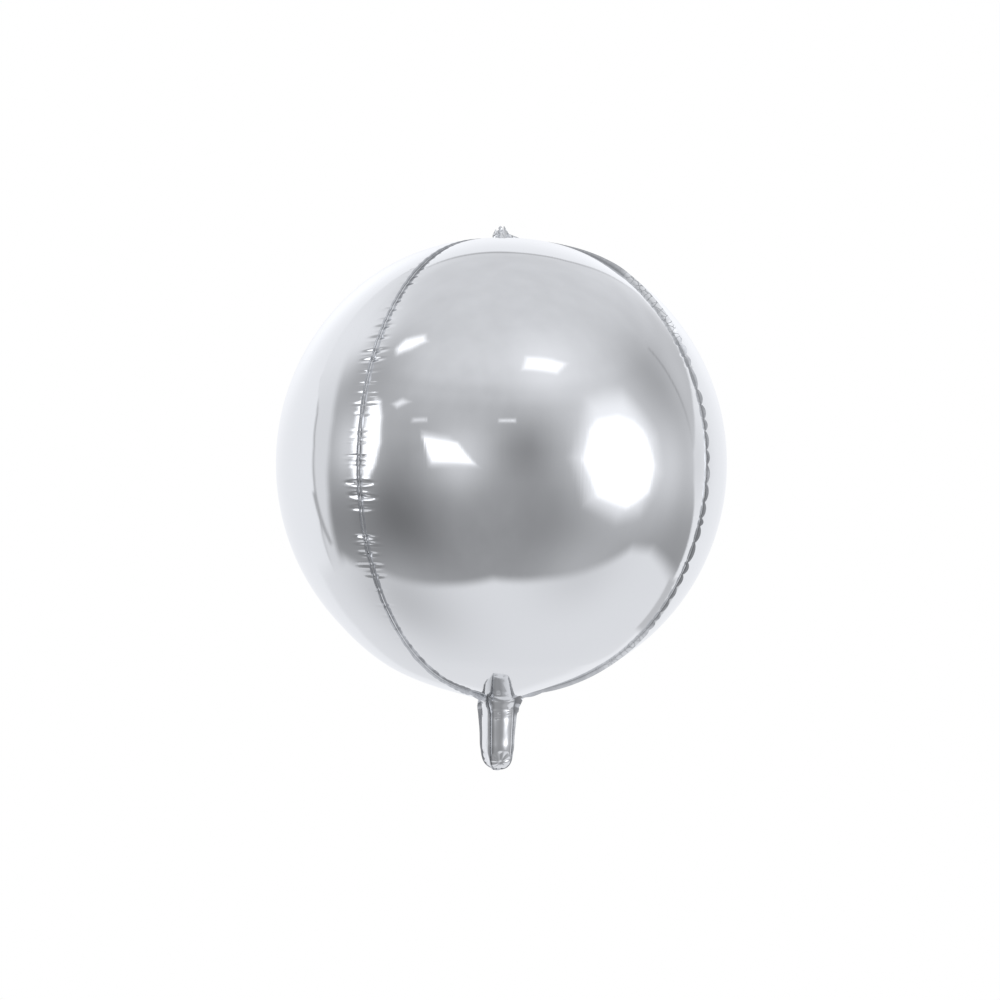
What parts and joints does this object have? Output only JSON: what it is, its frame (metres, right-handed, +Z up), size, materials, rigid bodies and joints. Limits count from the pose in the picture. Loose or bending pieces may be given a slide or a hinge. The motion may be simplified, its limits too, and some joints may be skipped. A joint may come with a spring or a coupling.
{
  "type": "round foil balloon",
  "caption": "Round mirror-foil balloon: a gas-filled globe of gores heat-sealed along crinkled upright seams, with a pinched crown peak on top and a short round-ended inflation tail below.",
  "frame": {"origin": "centre of the globe, where the gas inside holds the balloon up in the air", "axes": "+Z up to the crown peak, -Y out of the middle of the front gore, +X out of the middle of the right gore"},
  "size_m": [0.3998, 0.3998, 0.4922],
  "materials": {
    "mirror_foil": "mirror-bright metallised film, drawn smooth by the gas, with short puckers along the seams",
    "welded_foil": "heat-sealed metallised film, crinkled and a little duller than the gores"
  },
  "bodies": {
    "root": {"gore_front": "mirror_foil", "gore_right": "mirror_foil", "gore_back": "mirror_foil", "gore_left": "mirror_foil", "tail_front": "mirror_foil", "tail_right": "mirror_foil", "tail_back": "mirror_foil", "tail_left": "mirror_foil", "seam_front_right": "welded_foil", "seam_back_right": "welded_foil", "seam_back_left": "welded_foil", "seam_front_left": "welded_foil", "crown_peak": "welded_foil", "tail_gather": "welded_foil"}
  },
  "joints": []
}
